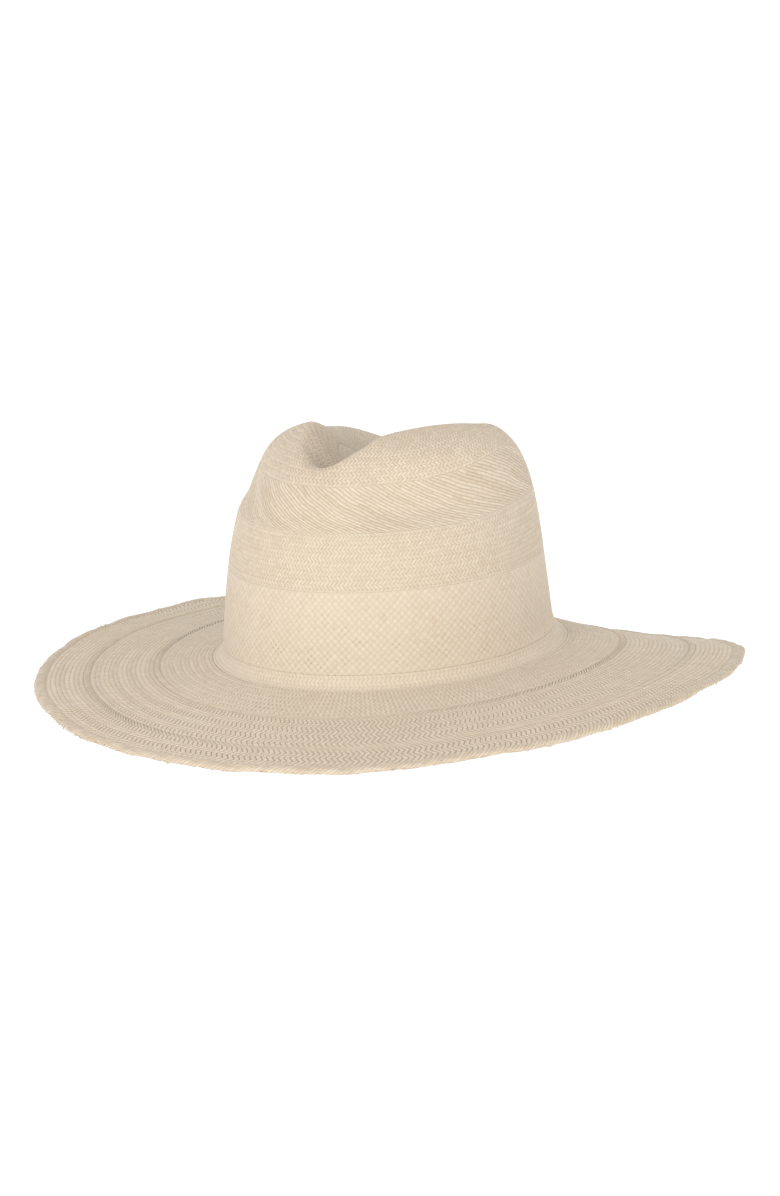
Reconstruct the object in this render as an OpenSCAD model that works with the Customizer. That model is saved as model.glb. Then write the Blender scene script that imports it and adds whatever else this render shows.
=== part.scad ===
// Panama hat of woven natural straw: a teardrop crown pinched at the front, a
// wide brim that dips at the front and back, and an edge turned back and woven
// in.  Inside are a leather sweatband with its reed, stitches, seam tape and
// bow, and two small sewn labels that lift.
// Z = 0 is the head opening, where the crown meets the brim.  The front of the
// hat faces -Y and the wearer's left is +X.  All sizes are in millimetres.

/* [Head opening] */
// Half length of the straw at the head opening, front to back
open_half_l = 102.5; // [96:0.5:110]
// Half width of the straw at the head opening
open_half_w = 84; // [78:0.5:90]
// Thickness of the woven straw
straw_t = 1.4; // [1:0.1:2]

/* [Crown] */
// Height that the front of the dome would reach before it is creased
dome_h = 129; // [115:1:140]
// How much lower the dome is at mid length than at the front
mid_drop = 14; // [6:1:18]
// How much lower again the dome is at the back
back_drop = 16; // [6:1:20]
// Depth of the teardrop crease in the crown's top
crease_depth = 27; // [18:1:30]
// Half width of the crease's narrow front end
crease_neck = 20; // [16:1:24]
// Extra half width of the crease at its wide back end
crease_spread = 26; // [16:1:28]
// Depth of the front dent on the wearer's left
dent_left = 7; // [3:0.5:9]
// Depth of the front dent on the wearer's right
dent_right = 2.5; // [1:0.5:7]
// How much higher the left ridge stands than level, and the right ridge lower
ridge_lean = 4; // [0:0.5:5]

/* [Brim] */
// Width of the brim from the head opening to its outer edge
brim_w = 99.5; // [80:0.5:110]
// How far the brim's edge lies below the head opening at the sides
side_fall = 6; // [0:0.5:12]
// Extra fall of the brim's edge at the front
front_fall = 10.7; // [4:0.1:16]
// Extra fall of the brim's edge at the back
rear_fall = 28.7; // [10:0.1:32]
// How much the left side of the edge is raised and the right side lowered
side_tilt = 1.5; // [0:0.1:3]
// Width of the turned and woven edge
edge_w = 5.5; // [4:0.5:7]
// Height of the turned and woven edge
edge_h = 4.8; // [3.5:0.1:6]
// Distance of the inner raised row from the head opening
inner_row_at = 33; // [28:1:40]
// Distance of the outer raised row from the head opening
outer_row_at = 70; // [62:1:74]
// Width of a raised row
row_w = 3.5; // [2.5:0.5:5]
// Height of a raised row above the brim
row_rise = 0.6; // [0.3:0.1:1]

/* [Weave bands] */
// Height at which the open diamond weave ends
lower_top_z = 48; // [40:1:56]
// Height at which the even rows end and the slanted band starts
side_top_z = 79; // [70:1:84]
// Height at which the slanted band ends and the crown's top starts
band_top_z = 103; // [96:1:106]
// Height of the tight rows at the foot of the crown
foot_h = 6; // [5:0.5:9]
// How far those tight rows run out onto the brim
foot_w = 5; // [4:0.5:8]

/* [Sweatband] */
// Height of the leather sweatband
band_h = 36; // [28:1:40]
// Thickness of the leather
band_t = 1.1; // [0.8:0.1:1.6]
// Gap between the leather and the straw
band_gap = 0.3; // [0.2:0.1:0.8]
// Radius of the reed sewn into the sweatband's lower edge
reed_r = 1.1; // [0.8:0.1:1.4]
// Radius of the sewing thread
thread_r = 0.3; // [0.2:0.05:0.4]

/* [Labels and bow] */
// Width of the care label
care_w = 24; // [18:1:26]
// Height of the care label
care_h = 20; // [14:1:24]
// Width of the size tab
tab_w = 15; // [12:1:18]
// Height of the size tab
tab_h = 12; // [9:1:16]
// Thickness of the label ribbon
label_t = 0.5; // [0.4:0.1:0.8]
// Half width of the bow
bow_half_w = 12; // [9:1:14]

/* [Hidden] */

// Straight facets around every straw band and the sweatband
facets = 96;
facet_a = 360 / facets;
// Steps for taking a slope from the surface: degrees round, and share of a band
turn_step = 0.4;
run_step = 0.0015;

// Dome: its roundness number is low at the front, soft, and high at the back, boxy
soft_n = 3;
boxy_n = 6.5;
mean_n = 4.5;
mean_h = 120;
taper_front = 0.10;
taper_back = 0.14;
wall_nip = 0.02;
// Where along the length the dome falls
mid_from = -55;
mid_to = 35;
back_from = 25;
back_to = 85;
// Crease: ends, where it is fully deep, and where it has opened out
crease_front = -75;
crease_deep_from = -45;
crease_back = 84;
crease_deep_to = 35;
crease_round = 22;
spread_from = -60;
spread_to = 20;
tail_l = 64;
// Dents: the angles from the front that they span and their lower and upper edges
dent_in = 12;
dent_full = 38;
dent_fade = 60;
dent_out = 112;
dent_floor = 75;
dent_floor_in = 87;
dent_roof_in = 92;
dent_roof = 114;

// The outer edge strip starts here, measured from the head opening
edge_at = brim_w - edge_w;
// Stations along the skin: 0 is the crown's centre, 1 the top of the foot,
// 2 the end of the foot on the brim, 3 the start of the edge strip
tip_stop = 0.2;
seam_a = 180;
care_a = 150;
tab_a = 214;

straw = [0.86, 0.78, 0.64];
straw_pale = [0.90, 0.83, 0.71];
leather_tan = [0.62, 0.44, 0.28];
ribbon = [0.20, 0.16, 0.13];
cotton = [0.93, 0.91, 0.86];

// Smooth step from 0 at x = a to 1 at x = b, in either order
function ease(a, b, x) = let(t = max(0, min(1, (x - a) / (b - a)))) t * t * (3 - 2 * t);
function clip1(x) = max(-1, min(1, x));

// 1 all over the front, 0 all over the back, by angle from the front
function front_share(a) = ease(-0.8, 0.8, cos(a));
// Height of the uncreased dome along the length
function dome_at(y) = dome_h - mid_drop * ease(mid_from, mid_to, y)
  - back_drop * ease(back_from, back_to, y);
// Share of the width and of the height on a rounded box of roundness n
function side_share(t, n) = pow(1 + pow(t, n), -1 / n);
function rise_share(t, n) = t * side_share(t, n);
// Slope number at which a rounded box reaches the height share q
function slope_for(q, n) = q * pow(1 - pow(q, n), -1 / n);
// Station on the dome, 0 at the opening and 1 at the centre, for a height
function dome_run(z) = atan(slope_for(z / mean_h, mean_n)) / 90;

// Slope number at angle a and station v: level rings low down, ovals on top
function slope_at(a, v) =
  let(t0 = tan(90 * v),
      k0 = side_share(t0, mean_n),
      n = boxy_n - (boxy_n - soft_n) * front_share(a),
      low = min(0.97, rise_share(t0, mean_n) * mean_h / dome_at(-open_half_l * k0 * cos(a))),
      t_low = slope_for(low, n),
      t_top = pow(1 - pow(k0, n), 1 / n) / k0,
      w = ease(0.3, 0.75, v))
  pow(t_low, 1 - w) * pow(t_top, w);

// The blocked dome before it is creased
function open_dome(a, v) =
  let(f = front_share(a),
      n = boxy_n - (boxy_n - soft_n) * f,
      t = slope_at(a, v),
      q = rise_share(t, n),
      k = side_share(t, n) * (1 - (taper_back - (taper_back - taper_front) * f) * q),
      z = dome_at(-open_half_l * k * cos(a)) * q,
      nip = k * (1 - wall_nip * (1 - f) * ease(0, 12, z)),
      x = open_half_w * nip * sin(a),
      y = -open_half_l * nip * cos(a))
  [x, y, z + ridge_lean * clip1(x / 42) * ease(-40, 15, y) * ease(50, 115, z)];

// Half width between the ridges of the crease
function crease_half(y) =
  let(head = sqrt(max(0, min(1, (y - crease_front) / crease_round))),
      tail = y < spread_to ? 1 : sqrt(max(0, 1 - pow((y - spread_to) / tail_l, 2))))
  max(0.5, crease_neck * head + crease_spread * ease(spread_from, spread_to, y))
  * max(0.02, tail);

// Pushes the crease down and the two front dents in
function creased(p) =
  let(s = min(1, abs(p.x) / (crease_half(p.y) + 2)),
      down = crease_depth * ease(crease_front, crease_deep_from, p.y)
        * ease(crease_back, crease_deep_to, p.y) * pow(1 - s * s, 2),
      a = atan2(abs(p.x) / open_half_w, -p.y / open_half_l),
      push = (p.x > 0 ? dent_left : dent_right) * ease(dent_in, dent_full, a)
        * ease(dent_out, dent_fade, a) * ease(dent_floor, dent_floor_in, p.z)
        * ease(dent_roof, dent_roof_in, p.z),
      nx = p.x / pow(open_half_w, 2),
      ny = p.y / pow(open_half_l, 2),
      l = norm([nx, ny]) + 0.0000001)
  [p.x - push * nx / l, p.y - push * ny / l, p.z - down];

// A point at a level distance outside the head opening's oval
function outside(a, d) =
  let(n = [sin(a) / open_half_w, -cos(a) / open_half_l])
  [open_half_w * sin(a), -open_half_l * cos(a)] + n / norm(n) * d;

// Height of the brim's outer edge by angle from the front
function edge_z(a) = -side_fall + side_tilt * sin(a)
  - front_fall * pow((1 + cos(a - 12)) / 2, 4)
  - rear_fall * pow((1 + cos(a - 176)) / 2, 7);

function brim_pt(a, d) =
  let(t = d / edge_at, p = outside(a, d))
  [p.x, p.y, edge_z(a) * (1.35 * t - 0.35 * t * t)];

// The foot: a short curve from the wall of the crown out onto the brim
function foot_pt(a, t) =
  let(top = creased(open_dome(a, dome_run(foot_h))),
      corner = brim_pt(a, 0),
      end = brim_pt(a, foot_w))
  pow(1 - t, 2) * top + 2 * t * (1 - t) * corner + t * t * end;

// Outer skin of the whole straw body at angle a and station s
function skin(a, s) =
  s <= 1 ? creased(open_dome(a, 1 - s * (1 - dome_run(foot_h))))
  : s <= 2 ? foot_pt(a, s - 1)
  : brim_pt(a, foot_w + (s - 2) * (edge_at - foot_w));

function unit(v) = v / norm(v);
function skin_normal(a, s) = unit(cross(
  skin(a, s + run_step) - skin(a, s - run_step),
  skin(a + turn_step, s) - skin(a - turn_step, s)));
function under(a, s, depth) = skin(a, s) - depth * skin_normal(a, s);

// Station of a height on the crown, and of a distance out along the brim
function crown_s(z) = (1 - dome_run(z)) / (1 - dome_run(foot_h));
function brim_s(d) = 2 + (d - foot_w) / (edge_at - foot_w);
function spread(a, b, n) = [for (i = [0:n]) a + (b - a) * i / n];

// One closed ring-shaped solid from a list of rings, first and last joined
function ring_faces(rings) = [for (j = [0:rings - 1], i = [0:facets - 1])
  let(i2 = (i + 1) % facets, j2 = (j + 1) % rings,
      p = j * facets + i, q = j * facets + i2,
      r = j2 * facets + i2, s = j2 * facets + i)
  each [[p, q, r], [p, r, s]]];

module ring_solid(rings) {
  polyhedron(points = [for (r = rings) each r], faces = ring_faces(len(rings)), convexity = 8);
}

// A band of straw between stations; bulge lifts its middle above the skin
module straw_band(stations, bulge = 0) {
  n = len(stations) - 1;
  outer = [for (j = [0:n]) [for (i = [0:facets - 1])
    under(i * facet_a, stations[j], -bulge * sin(180 * j / n))]];
  inner = [for (j = [n:-1:0]) [for (i = [0:facets - 1])
    under(i * facet_a, stations[j], straw_t)]];
  ring_solid(concat(outer, inner));
}

// Inner wall of the crown at a height, set in by a depth from the outer skin
function wall(a, z, depth) =
  let(e = 0.5,
      run = creased(open_dome(a, dome_run(z + e))) - creased(open_dome(a, dome_run(z))),
      turn = creased(open_dome(a + turn_step, dome_run(z)))
        - creased(open_dome(a - turn_step, dome_run(z))))
  creased(open_dome(a, dome_run(z))) - depth * unit(cross(turn, run));

leather_out = straw_t + band_gap;
leather_in = leather_out + band_t;

module crown_tip() color(straw) {
  stations = spread(0.02, tip_stop, 3);
  n = len(stations);
  rings = concat(
    [for (s = stations) [for (i = [0:facets - 1]) under(i * facet_a, s, 0)]],
    [for (j = [n - 1:-1:0]) [for (i = [0:facets - 1]) under(i * facet_a, stations[j], straw_t)]]);
  low = skin(0, 0.004);
  points = concat([for (r = rings) each r], [[0, 0, low.z], [0, 0, low.z - straw_t]]);
  top_c = len(points) - 2;
  sides = [for (f = ring_faces(2 * n)) if (!(max(f) >= (2 * n - 1) * facets && min(f) < facets)) f];
  last = (2 * n - 1) * facets;
  caps = [for (i = [0:facets - 1]) let(k = (i + 1) % facets)
    each [[top_c, k, i], [top_c + 1, last + i, last + k]]];
  polyhedron(points = points, faces = concat(sides, caps), convexity = 8);
}
module crown_top() color(straw) straw_band(spread(tip_stop, crown_s(band_top_z), 9));
module crown_slanted_band() color(straw)
  straw_band(spread(crown_s(band_top_z), crown_s(side_top_z), 4));
module crown_side() color(straw) straw_band(spread(crown_s(side_top_z), crown_s(lower_top_z), 3));
module crown_lower() color(straw_pale) straw_band(spread(crown_s(lower_top_z), 1, 3));
module crown_foot() color(straw_pale) straw_band(spread(1, 2, 3));
module brim_inner() color(straw) straw_band(spread(2, brim_s(inner_row_at), 3));
module brim_inner_row() color(straw_pale)
  straw_band(spread(brim_s(inner_row_at), brim_s(inner_row_at + row_w), 2), row_rise);
module brim_middle() color(straw)
  straw_band(spread(brim_s(inner_row_at + row_w), brim_s(outer_row_at), 3));
module brim_outer_row() color(straw_pale)
  straw_band(spread(brim_s(outer_row_at), brim_s(outer_row_at + row_w), 2), row_rise);
module brim_outer() color(straw) straw_band(spread(brim_s(outer_row_at + row_w), 3, 2));

// The turned edge: an oval roll whose flat inner side meets the brim's cut edge
module brim_edge() color(straw_pale) {
  roll = [for (b = [130:-40:-130]) [edge_w / 2 * (1 + cos(b)), edge_h / 2 * sin(b)]];
  rings = concat(
    [[for (i = [0:facets - 1]) under(i * facet_a, 3, 0)]],
    [for (r = roll) [for (i = [0:facets - 1])
      let(a = i * facet_a, p = outside(a, edge_at + r[0]))
      [p.x, p.y, edge_z(a) - straw_t / 2 + r[1]]]],
    [[for (i = [0:facets - 1]) under(i * facet_a, 3, straw_t)]]);
  ring_solid(rings);
}

// Heights of the leather's rings; it is flat between them
leather_z = [0.2, 12, 24, band_h];
module sweatband() color(leather_tan) {
  ring_solid(concat(
    [for (j = [3:-1:0]) [for (i = [0:facets - 1]) wall(i * facet_a, leather_z[j], leather_out)]],
    [for (j = [0:3]) [for (i = [0:facets - 1]) wall(i * facet_a, leather_z[j], leather_in)]]));
}

// Gap between the leather's lower edge and the reed sewn under it
reed_drop = 0.35;
module sweatband_reed() color(cotton) {
  ring_solid([for (b = [0:60:300]) [for (i = [0:facets - 1])
    let(p = outside(i * facet_a, -leather_out - band_t / 2 + reed_r * cos(b)))
    [p.x, p.y, -reed_r - reed_drop - reed_r * sin(b)]]]);
}

// A point on the leather's inner face half way along facet i, and that facet's direction
function ring_mid(i, z) =
  (wall(i * facet_a, z, leather_in) + wall((i + 1) * facet_a, z, leather_in)) / 2;
function face_mid(i, z) =
  let(j = z < leather_z[1] ? 0 : z < leather_z[2] ? 1 : 2,
      low = ring_mid(i, leather_z[j]),
      high = ring_mid(i, leather_z[j + 1]))
  low + (high - low) * (z - low.z) / (high.z - low.z);
function face_dir(i, z) =
  unit(wall((i + 1) * facet_a, z, leather_in) - wall(i * facet_a, z, leather_in));
function face_turn(i) = let(d = face_dir(i, band_h / 2)) atan2(d.y, d.x);

// Places children on the leather over the facet at angle a: X along the band,
// +Y into the crown, Z up; the origin is clear of the leather by gap
module on_leather(a, z, gap) {
  i = round(a / facet_a - 0.5);
  translate(face_mid(i, z)) rotate([0, 0, face_turn(i)]) translate([0, gap, 0]) children();
}

// One row of thread, laid along X
module stitch(l) rotate([0, 90, 0]) cylinder(r = thread_r, h = l, center = true, $fn = 12);

module sweatband_stitches() color(cotton)
  for (i = [0:facets - 1])
    on_leather((i + 0.5) * facet_a, 3, thread_r + 0.16) stitch(3.2);

// The seam tape follows the leather's slope, a sixth of a millimetre clear of it
tape_w = 5;
tape_t = 0.4;
tape_gap = 0.16;
tape_low = 5.5;
tape_high = band_h - 3;
seam_i = round((seam_a + 1) / facet_a - 0.5);
function tape_at(z, x, y) =
  let(m = face_mid(seam_i, z), t = face_turn(seam_i))
  [m.x + x * cos(t) - y * sin(t), m.y + x * sin(t) + y * cos(t), z];
module seam_tape() color(leather_tan) {
  w = tape_w / 2;
  near = tape_gap;
  far = tape_gap + tape_t;
  rows = [for (z = [tape_low, leather_z[1], leather_z[2], tape_high])
    [tape_at(z, -w, near), tape_at(z, w, near), tape_at(z, w, far), tape_at(z, -w, far)]];
  last = 4 * (len(rows) - 1);
  sides = [for (j = [0:len(rows) - 2], k = [0:3])
    let(p = 4 * j + k, q = 4 * j + (k + 1) % 4)
    each [[p, q + 4, q], [p, p + 4, q + 4]]];
  ends = [[0, 1, 2], [0, 2, 3], [last, last + 2, last + 1], [last, last + 3, last + 2]];
  polyhedron(points = [for (r = rows) each r], faces = concat(sides, ends), convexity = 4);
}
// Each stitch leans with the leather behind it
seam_lift = tape_gap + tape_t + thread_r + 0.06;
module seam_stitches() color(cotton)
  for (z = [8:3:29], x = [-1.4, 1.4]) {
    low = tape_at(z - 0.9, x, seam_lift);
    run = tape_at(z + 0.9, x, seam_lift) - low;
    translate(low + run / 2)
      rotate([0, acos(run.z / norm(run)), atan2(run.y, run.x)])
        cylinder(r = thread_r, h = 1.8, center = true, $fn = 12);
  }

// The bow lies flat over the seam: a loop and a tail each side of a knot
bow_z = 12;
bow_r = 3.2;
bow_wall = 0.5;
bow_out = tape_gap + tape_t + 2 * thread_r + 0.9;
module bow_loop() difference() {
  hull() {
    translate([bow_half_w - bow_r, 0, 0]) cylinder(r = bow_r, h = 1.6);
    translate([1.9, 0, 0]) cylinder(r = 0.9, h = 1.6);
  }
  translate([0, 0, -1]) hull() {
    translate([bow_half_w - bow_r, 0, 0]) cylinder(r = bow_r - bow_wall, h = 4);
    translate([2.3, 0, 0]) cylinder(r = 0.4, h = 4);
  }
}
module bow_loops() color(ribbon)
  on_leather(seam_a + 1, bow_z, bow_out) rotate([-90, 0, 0])
    for (s = [0, 180]) rotate([0, 0, s]) bow_loop();
module bow_knot() color(ribbon)
  on_leather(seam_a + 1, bow_z, bow_out)
    translate([0, 1.0, 0]) cube([1.9, 2.0, 3.4], center = true);

// Labels hang from their sewn top edge, clear of the curved leather behind
label_top = band_h - 2.5;
care_gap = 1.35;
tab_gap = 0.75;
stitch_lift = 0.45;
module care_label() color(cotton)
  on_leather(care_a, label_top, care_gap)
    translate([-care_w / 2, 0, -care_h]) cube([care_w, label_t, care_h]);
module care_label_stitches() color(ribbon)
  on_leather(care_a, label_top, care_gap)
    for (x = [-3:3]) translate([x * 3, label_t / 2, thread_r + stitch_lift]) stitch(2);
module size_tab() color(cotton)
  on_leather(tab_a, label_top, tab_gap)
    translate([-tab_w / 2, 0, -tab_h]) cube([tab_w, label_t, tab_h]);
module size_tab_stitches() color(ribbon)
  on_leather(tab_a, label_top, tab_gap)
    for (x = [-2:2]) translate([x * 2.8, label_t / 2, thread_r + stitch_lift]) stitch(1.8);

crown_tip();
crown_top();
crown_slanted_band();
crown_side();
crown_lower();
crown_foot();
brim_inner();
brim_inner_row();
brim_middle();
brim_outer_row();
brim_outer();
brim_edge();
sweatband();
sweatband_reed();
sweatband_stitches();
seam_tape();
seam_stitches();
bow_loops();
bow_knot();
care_label();
care_label_stitches();
size_tab();
size_tab_stitches();
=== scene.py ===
"""Panama hat: woven straw body, leather sweatband, labels, and the studio around them."""
import math
import random

import bpy
import numpy as np
from mathutils import Matrix, Vector


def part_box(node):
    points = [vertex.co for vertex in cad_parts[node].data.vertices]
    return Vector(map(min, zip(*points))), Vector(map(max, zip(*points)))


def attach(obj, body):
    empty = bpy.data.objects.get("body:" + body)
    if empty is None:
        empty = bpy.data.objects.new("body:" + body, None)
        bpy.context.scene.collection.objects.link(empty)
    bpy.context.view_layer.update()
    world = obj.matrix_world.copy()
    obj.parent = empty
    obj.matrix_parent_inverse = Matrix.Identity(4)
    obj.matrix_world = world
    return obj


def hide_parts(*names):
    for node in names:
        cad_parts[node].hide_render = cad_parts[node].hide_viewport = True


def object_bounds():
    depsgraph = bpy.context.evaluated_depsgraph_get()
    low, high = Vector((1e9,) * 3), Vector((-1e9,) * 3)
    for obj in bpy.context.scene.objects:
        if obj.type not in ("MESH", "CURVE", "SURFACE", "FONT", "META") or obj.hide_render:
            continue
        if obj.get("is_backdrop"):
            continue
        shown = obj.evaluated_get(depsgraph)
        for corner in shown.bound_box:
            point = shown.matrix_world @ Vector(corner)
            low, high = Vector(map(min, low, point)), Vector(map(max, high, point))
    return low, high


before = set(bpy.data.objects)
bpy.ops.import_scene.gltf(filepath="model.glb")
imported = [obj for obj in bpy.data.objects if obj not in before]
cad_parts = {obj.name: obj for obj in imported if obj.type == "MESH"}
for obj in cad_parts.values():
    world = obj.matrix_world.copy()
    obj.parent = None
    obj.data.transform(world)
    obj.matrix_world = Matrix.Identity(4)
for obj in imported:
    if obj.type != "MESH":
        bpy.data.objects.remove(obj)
cad_low, cad_high = (list(v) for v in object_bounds())
MM = 0.001
random.seed(11)


def half(node, axis):
    low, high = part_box(node)
    return (high[axis] - low[axis]) / 2 / MM


# ---------------------------------------------------------------- sizes, in mm
REED_INSET = 1.15  # from the head opening's oval in to the reed's outer side
OPEN_W = half("sweatband_reed", 0) + REED_INSET
OPEN_L = half("sweatband_reed", 1) + REED_INSET
BRIM_W = half("brim_edge", 0) - OPEN_W
EDGE_AT = half("brim_outer", 0) - OPEN_W
EDGE_W = BRIM_W - EDGE_AT
EDGE_H = 4.8
STRAW_T = 1.4
DOME_H, MID_DROP, BACK_DROP = 129.0, 14.0, 16.0
CREASE_DEPTH, CREASE_NECK, CREASE_SPREAD = 27.0, 20.0, 26.0
DENT_LEFT, DENT_RIGHT, RIDGE_LEAN = 7.0, 2.5, 4.0
SIDE_FALL, FRONT_FALL, REAR_FALL, SIDE_TILT = 6.0, 10.7, 28.7, 1.5
INNER_ROW, OUTER_ROW, ROW_W = 33.0, 70.0, 3.5
LOWER_TOP, SIDE_TOP, BAND_TOP = 48.0, 79.0, 103.0
FOOT_H, FOOT_W = 6.0, 5.0
TIP_STOP = 0.2
# the blocked dome: how boxy its plan is, its mean height, and how much it narrows upwards
SOFT_N, BOXY_N, MEAN_N, MEAN_H = 3.0, 6.5, 4.5, 120.0
TAPER_FRONT, TAPER_BACK, WALL_NIP, NIP_H = 0.10, 0.14, 0.02, 12.0
# stretches along the hat, front to back, over which the top falls and the crease comes and goes
MID_FALL, BACK_FALL = (-55.0, 35.0), (25.0, 85.0)
CREASE_IN, CREASE_OUT, CREASE_ROUND = (-75.0, -45.0), (84.0, 35.0), 22.0
SPREAD, TAIL_FROM, TAIL_L = (-60.0, 20.0), 20.0, 64.0
RIDGE_X, RIDGE_ALONG, RIDGE_UP = 42.0, (-40.0, 15.0), (50.0, 115.0)
# the front dents: angles from the front in degrees, then heights
DENT_NEAR, DENT_FAR, DENT_FLOOR, DENT_ROOF = (12.0, 38.0), (112.0, 60.0), (75.0, 87.0), (114.0, 92.0)
BAND_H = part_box("sweatband")[1].z / MM
LEATHER_OUT, LEATHER_IN = 1.7, 2.8


# ---------------------------------------------------------------- the hat's surface
def ease(a, b, x):
    """Smooth step from 0 at a to 1 at b."""
    t = np.clip((x - a) / (b - a), 0, 1)
    return t * t * (3 - 2 * t)


def front_share(a):
    """1 at the front of the hat, 0 at the back."""
    return ease(-0.8, 0.8, np.cos(a))


def dome_at(y):
    """Height of the uncreased dome along the length."""
    return DOME_H - MID_DROP * ease(*MID_FALL, y) - BACK_DROP * ease(*BACK_FALL, y)


def side_share(t, n):
    """Share of the full width that a superellipse of power n has where height over width is t."""
    return np.power(1 + np.power(t, n), -1 / n)


def slope_for(q, n):
    """Height over width at which that superellipse has reached the share q of its height."""
    return q * np.power(1 - np.power(q, n), -1 / n)


def dome_run(z):
    """Station up the dome, from 0 at its foot to 1 at its top, at the mean height z."""
    return np.arctan(slope_for(z / MEAN_H, MEAN_N)) / (math.pi / 2)


def open_dome(a, v):
    """Point of the blocked dome before it is creased, at angle a and station v."""
    v = np.clip(v, 0, 0.9995)
    f = front_share(a)
    n = BOXY_N - (BOXY_N - SOFT_N) * f
    t0 = np.tan(math.pi / 2 * v)
    k0 = side_share(t0, MEAN_N)
    low = np.minimum(0.97, t0 * k0 * MEAN_H / dome_at(-OPEN_L * k0 * np.cos(a)))
    w = ease(0.3, 0.75, v)
    t_low = np.maximum(slope_for(low, n), 1e-9)
    t_top = np.maximum(np.power(np.maximum(1 - np.power(k0, n), 1e-12), 1 / n) / k0, 1e-9)
    t = np.power(t_low, 1 - w) * np.power(t_top, w)
    k = side_share(t, n)
    q = t * k
    k = k * (1 - (TAPER_BACK - (TAPER_BACK - TAPER_FRONT) * f) * q)
    z = dome_at(-OPEN_L * k * np.cos(a)) * q
    k = k * (1 - WALL_NIP * (1 - f) * ease(0, NIP_H, z))
    x, y = OPEN_W * k * np.sin(a), -OPEN_L * k * np.cos(a)
    lean = np.clip(x / RIDGE_X, -1, 1) * ease(*RIDGE_ALONG, y) * ease(*RIDGE_UP, z)
    return x, y, z + RIDGE_LEAN * lean


def creased(x, y, z):
    """Pushes down the crease and pushes in the two front dents."""
    head = np.sqrt(np.clip((y - CREASE_IN[0]) / CREASE_ROUND, 0, 1))
    tail = np.where(y < TAIL_FROM, 1.0, np.sqrt(np.maximum(0, 1 - ((y - TAIL_FROM) / TAIL_L) ** 2)))
    wide = np.maximum(0.5, CREASE_NECK * head + CREASE_SPREAD * ease(*SPREAD, y))
    s = np.minimum(1, np.abs(x) / (wide * np.maximum(0.02, tail) + 2))
    down = CREASE_DEPTH * ease(*CREASE_IN, y) * ease(*CREASE_OUT, y) * (1 - s * s) ** 2
    a = np.degrees(np.arctan2(np.abs(x) / OPEN_W, -y / OPEN_L))
    push = np.where(x > 0, DENT_LEFT, DENT_RIGHT) * ease(*DENT_NEAR, a) * ease(*DENT_FAR, a)
    push = push * ease(*DENT_FLOOR, z) * ease(*DENT_ROOF, z)
    nx, ny = x / OPEN_W**2, y / OPEN_L**2
    size = np.hypot(nx, ny) + 1e-7
    return np.stack([x - push * nx / size, y - push * ny / size, z - down], -1)


def outside(a, d):
    """Point in plan that lies d outside the head opening's oval, at angle a."""
    nx, ny = np.sin(a) / OPEN_W, -np.cos(a) / OPEN_L
    size = np.hypot(nx, ny)
    return OPEN_W * np.sin(a) + nx / size * d, -OPEN_L * np.cos(a) + ny / size * d


def edge_z(a):
    """Height of the brim's edge: it dips at the front and more at the back."""
    front = ((1 + np.cos(a - math.radians(12))) / 2) ** 4
    rear = ((1 + np.cos(a - math.radians(176))) / 2) ** 7
    return -SIDE_FALL + SIDE_TILT * np.sin(a) - FRONT_FALL * front - REAR_FALL * rear


def waver(a):
    """The slight unevenness of a hand-made brim, in mm, by angle."""
    slow = 0.36 * np.sin(9 * a + 1.1) + 0.26 * np.sin(14 * a + 4.0)
    return slow + 0.20 * np.sin(23 * a + 2.2) + 0.14 * np.sin(41 * a) + 0.10 * np.sin(67 * a + 3)


def brim(a, d):
    """Brim's outer skin at angle a, d out from the head opening."""
    x, y = outside(a, d)
    t = d / EDGE_AT
    return np.stack([x, y, edge_z(a) * (1.35 * t - 0.35 * t * t) + waver(a) * t**3], -1)


FOOT_RUN = float(dome_run(FOOT_H))


def skin(a, s):
    """Outer skin at angle a and station s: 0 crown's centre, 1 top of the foot, 2 its end, 3 edge strip."""
    a, s = np.broadcast_arrays(np.asarray(a, float), np.asarray(s, float))
    crown = creased(*open_dome(a, 1 - np.clip(s, 1e-3, 1) * (1 - FOOT_RUN)))
    t = np.clip(s - 1, 0, 1)[..., None]
    top = creased(*open_dome(a, np.full_like(a, FOOT_RUN)))
    foot = (1 - t) ** 2 * top + 2 * t * (1 - t) * brim(a, a * 0) + t * t * brim(a, a * 0 + FOOT_W)
    out = brim(a, FOOT_W + (np.clip(s, 2, 4) - 2) * (EDGE_AT - FOOT_W))
    s = s[..., None]
    return np.where(s <= 1, crown, np.where(s <= 2, foot, out))


def skin_normal(a, s):
    """Outward direction of the skin, from short steps both ways."""
    e, g = 0.0015, math.radians(0.4)
    n = np.cross(skin(a, s + e) - skin(a, np.maximum(s - e, 1e-3)), skin(a + g, s) - skin(a - g, s))
    return n / (np.linalg.norm(n, axis=-1, keepdims=True) + 1e-12)


def crown_s(z):
    """Station of the mean height z on the crown."""
    return float((1 - dome_run(z)) / (1 - FOOT_RUN))


def brim_s(d):
    """Station of the distance d from the head opening on the brim."""
    return 2 + (d - FOOT_W) / (EDGE_AT - FOOT_W)


# ---------------------------------------------------------------- weave
def shake(n, seed, rough=6):
    """A smooth random wave round the ring, sampled at n points, with a whole number of periods."""
    r = np.random.default_rng(seed)
    t = np.arange(n) / n * 2 * math.pi
    out = np.zeros(n)
    for k in range(1, rough):
        out += r.normal() / k**0.5 * np.cos(k * t * r.integers(1, 5) + r.uniform(0, 6.28))
    return out / 2


STAGGERED = 1.25  # period of a single family whose ends fall unevenly; 1 has them in line
STAGGER = 0.618  # how far each strand of that family is shifted from the one before


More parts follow.
